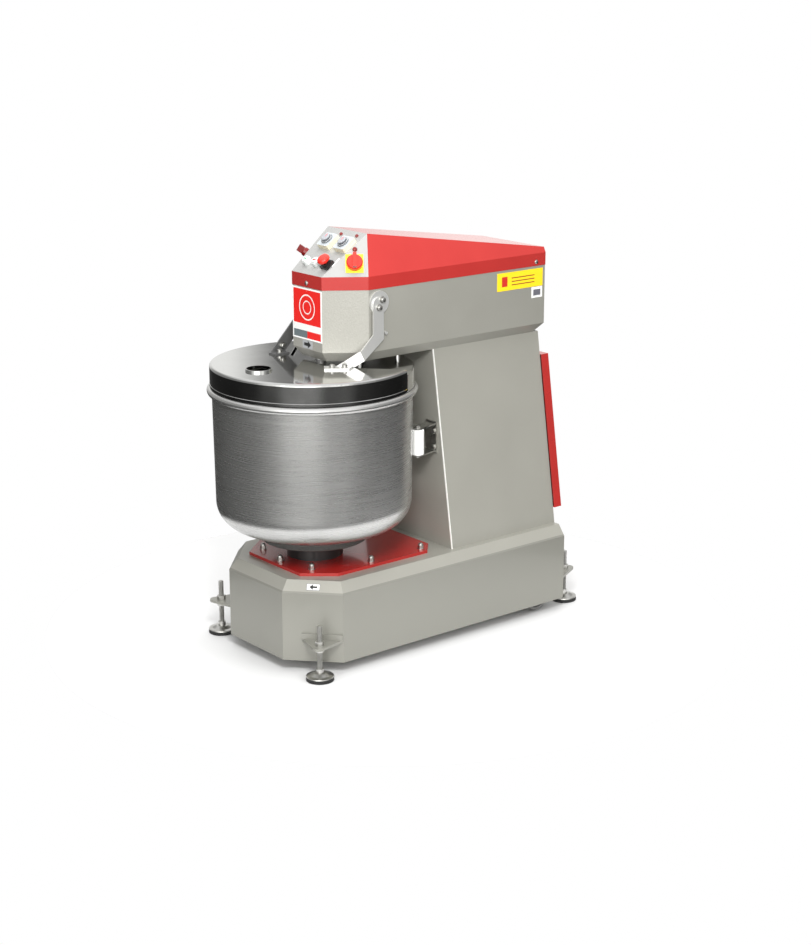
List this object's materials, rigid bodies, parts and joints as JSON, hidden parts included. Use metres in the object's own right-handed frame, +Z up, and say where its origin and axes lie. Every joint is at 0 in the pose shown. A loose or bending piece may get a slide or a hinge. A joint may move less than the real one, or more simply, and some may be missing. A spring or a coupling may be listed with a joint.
{
  "type": "commercial stand mixer",
  "caption": "Floor-standing spiral dough mixer with a turning steel bowl, lift-up lid, spiral tool, sloping control panel and levelling feet.",
  "frame": {"origin": "on the floor, under the middle of the whole machine", "axes": "+Z up, the bowl at the front towards -Y, +X to the right of a user who stands in front of the bowl"},
  "size_m": [0.65, 1.2599, 1.309],
  "materials": {
    "grey_paint": "metallic grey paint, hammered on the front",
    "red_paint": "gloss red paint",
    "stainless": "brushed stainless steel",
    "bright_steel": "polished steel",
    "zinc": "zinc plated",
    "cast": "rough cast",
    "black_plastic": "matt",
    "red_plastic": "gloss",
    "cream_plastic": "matt",
    "white_plastic": "matt",
    "yellow_plastic": "matt",
    "belt_rubber": "matt",
    "motor_paint": "gloss blue grey",
    "label": "printed film"
  },
  "bodies": {
    "machine": {"base_floor": "zinc", "base_shell": "grey_paint", "bowl_belt": "belt_rubber", "bowl_drum": "black_plastic", "bowl_motor": "motor_paint", "breaker_bar": "stainless", "button_rings": "white_plastic", "cable_gland": "black_plastic", "column_shell": "grey_paint", "control_box": "cream_plastic", "cover_screws": "zinc", "estop_base": "black_plastic", "foot_brackets": "grey_paint", "foot_nuts": "zinc", "head_cover": "red_paint", "head_frame": "zinc", "head_shell": "grey_paint", "labels": "label", "lid_pins": "bright_steel", "lid_rear": "stainless", "nameplate": "red_paint", "panel_lamps": "red_plastic", "rear_cover": "red_paint", "roller_brackets": "zinc", "shaft_bearings": "bright_steel", "spiral_belts": "belt_rubber", "spiral_housing": "cast", "spiral_motor": "motor_paint", "switch_plates": "yellow_plastic", "timer_housings": "cream_plastic", "turntable_nuts": "zinc", "turntable_plate": "red_paint", "wheel_stubs": "zinc"},
    "turning_bowl": {"bowl": "stainless", "bowl_flange": "cast", "bowl_shaft": "bright_steel", "bowl_pulley": "cast"},
    "spiral": {"spiral_hook": "stainless", "spiral_shaft": "bright_steel", "spiral_pulley": "cast"},
    "spiral_motor_rotor": {"spiral_motor_pulley": "cast"},
    "bowl_motor_rotor": {"bowl_motor_pulley": "cast"},
    "lid": {"lid_front": "stainless", "lid_arms": "bright_steel", "lid_bolts": "zinc"},
    "start": {"start_button": "white_plastic"},
    "stop": {"stop_button": "white_plastic"},
    "estop": {"estop_head": "red_plastic"},
    "main_switch": {"main_switch_knob": "red_plastic"},
    "selector": {"selector_knob": "red_plastic"},
    "timer_left": {"timer_knob_left": "black_plastic"},
    "timer_right": {"timer_knob_right": "black_plastic"},
    "guide_right": {"roller_right": "white_plastic"},
    "guide_left": {"roller_left": "white_plastic"},
    "wheel_right": {"transport_wheel_right": "black_plastic"},
    "wheel_left": {"transport_wheel_left": "black_plastic"},
    "foot_fr": {"foot_front_right": "zinc"},
    "foot_fl": {"foot_front_left": "zinc"},
    "foot_rr": {"foot_rear_right": "zinc"},
    "foot_rl": {"foot_rear_left": "zinc"}
  },
  "joints": [
    {"name": "bowl_spin", "type": "hinge", "parent": "machine", "child": "turning_bowl", "pos_m": [0, -0.305, 0.377], "axis": [0, 0, 1], "continuous": true},
    {"name": "bowl_motor_spin", "type": "hinge", "parent": "machine", "child": "bowl_motor_rotor", "pos_m": [0, 0.255, 0.2], "axis": [0, 0, 1], "continuous": true},
    {"name": "spiral_spin", "type": "hinge", "parent": "machine", "child": "spiral", "pos_m": [0, -0.14, 0.852], "axis": [0, 0, 1], "continuous": true},
    {"name": "spiral_motor_spin", "type": "hinge", "parent": "machine", "child": "spiral_motor_rotor", "pos_m": [0, 0.295, 1], "axis": [0, 0, 1], "continuous": true},
    {"name": "lid_lift", "type": "hinge", "parent": "machine", "child": "lid", "pos_m": [0, -0.169, 1.108], "axis": [-1, 0, 0], "range_deg": [0, 70]},
    {"name": "start_press", "type": "slide", "parent": "machine", "child": "start", "axis": [0, 0.6041, -0.7969], "range_m": [0, 0.003], "stiffness_N_per_m": 400},
    {"name": "stop_press", "type": "slide", "parent": "machine", "child": "stop", "axis": [0, 0.6041, -0.7969], "range_m": [0, 0.003], "stiffness_N_per_m": 400},
    {"name": "estop_press", "type": "slide", "parent": "machine", "child": "estop", "axis": [0, 0.6041, -0.7969], "range_m": [0, 0.004]},
    {"name": "main_switch_turn", "type": "hinge", "parent": "machine", "child": "main_switch", "pos_m": [0.11589, -0.22771, 1.22643], "axis": [0.6849, -0.4987, 0.5313], "range_deg": [-90, 0]},
    {"name": "selector_turn", "type": "hinge", "parent": "machine", "child": "selector", "pos_m": [-0.11589, -0.22771, 1.22643], "axis": [-0.6849, -0.4987, 0.5313], "range_deg": [-90, 0]},
    {"name": "timer_left_turn", "type": "hinge", "parent": "machine", "child": "timer_left", "pos_m": [-0.024, -0.21521, 1.27094], "axis": [0, 0.6041, -0.7969], "range_deg": [0, 300]},
    {"name": "timer_right_turn", "type": "hinge", "parent": "machine", "child": "timer_right", "pos_m": [0.057, -0.21521, 1.27094], "axis": [0, 0.6041, -0.7969], "range_deg": [0, 300]},
    {"name": "roller_right_spin", "type": "hinge", "parent": "machine", "child": "guide_right", "pos_m": [0.158, -0.01414, 0.645], "axis": [0, 0, 1], "continuous": true},
    {"name": "roller_left_spin", "type": "hinge", "parent": "machine", "child": "guide_left", "pos_m": [-0.158, -0.01414, 0.645], "axis": [0, 0, 1], "continuous": true},
    {"name": "wheel_right_spin", "type": "hinge", "parent": "machine", "child": "wheel_right", "pos_m": [0.235, 0.43, 0.051], "axis": [1, 0, 0], "continuous": true},
    {"name": "wheel_left_spin", "type": "hinge", "parent": "machine", "child": "wheel_left", "pos_m": [-0.235, 0.43, 0.051], "axis": [1, 0, 0], "continuous": true},
    {"name": "foot_front_right_adjust", "type": "slide", "parent": "machine", "child": "foot_fr", "axis": [0, 0, 1], "range_m": [0, 0.02]},
    {"name": "foot_front_left_adjust", "type": "slide", "parent": "machine", "child": "foot_fl", "axis": [0, 0, 1], "range_m": [0, 0.02]},
    {"name": "foot_rear_right_adjust", "type": "slide", "parent": "machine", "child": "foot_rr", "axis": [0, 0, 1], "range_m": [0, 0.02]},
    {"name": "foot_rear_left_adjust", "type": "slide", "parent": "machine", "child": "foot_rl", "axis": [0, 0, 1], "range_m": [0, 0.02]}
  ],
  "couplings": [
    {"joint": "bowl_motor_spin", "follows": "bowl_spin", "ratio": 3.9167},
    {"joint": "spiral_motor_spin", "follows": "spiral_spin", "ratio": 2.4634}
  ]
}
